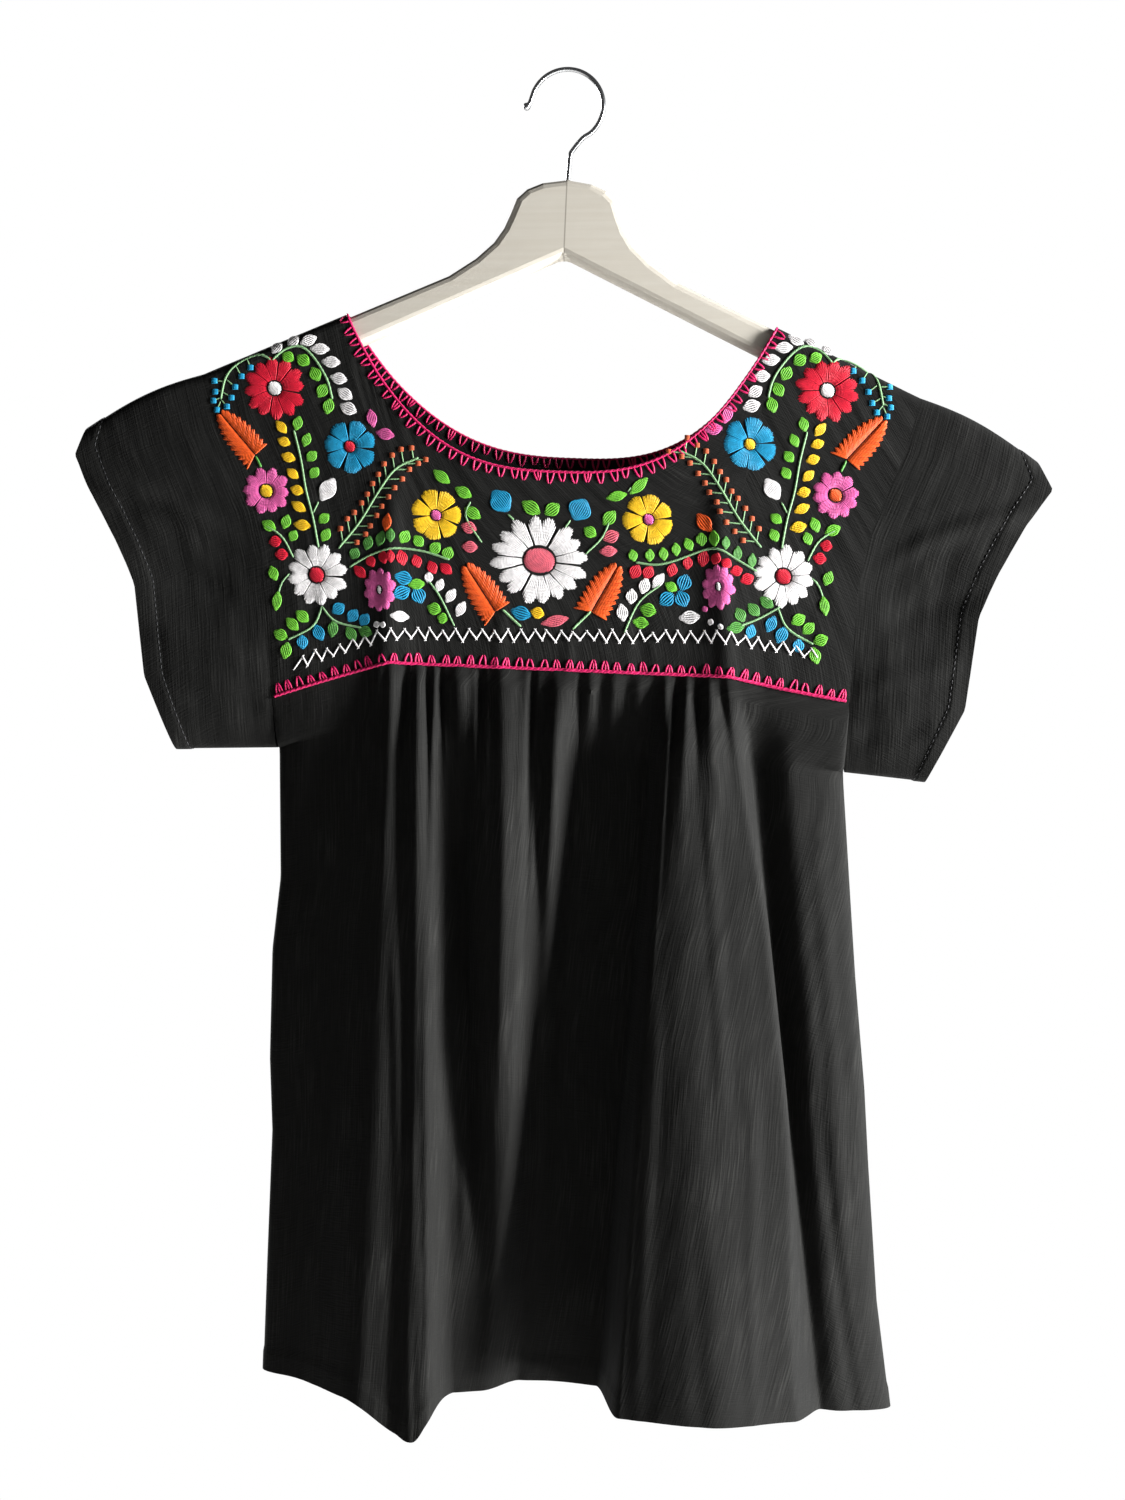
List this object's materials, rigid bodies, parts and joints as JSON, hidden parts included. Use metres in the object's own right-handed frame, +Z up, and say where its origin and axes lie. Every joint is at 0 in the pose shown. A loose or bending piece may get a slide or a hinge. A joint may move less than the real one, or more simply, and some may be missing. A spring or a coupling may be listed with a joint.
{
  "type": "embroidered blouse on a wooden hanger",
  "caption": "Short-sleeved yoked blouse with a round neck and a gathered body, hanging on a flat wooden hanger with a wire hook.",
  "frame": {"origin": "top of the inside of the hook's loop, where what holds the hanger bears on the wire", "axes": "+Z up, garment's front towards -Y, wearer's left towards +X"},
  "size_m": [0.5277, 0.0987, 0.7402],
  "materials": {
    "black_cotton": "matt plain-weave cotton",
    "limed_wood": "pale limed wood, satin",
    "hook_steel": "bright plated wire"
  },
  "bodies": {
    "root": {"yoke_front": "black_cotton", "yoke_back": "black_cotton", "body_front": "black_cotton", "body_back": "black_cotton", "sleeve_left": "black_cotton", "sleeve_right": "black_cotton", "hanger_wood": "limed_wood", "hanger_hook": "hook_steel"}
  },
  "joints": []
}
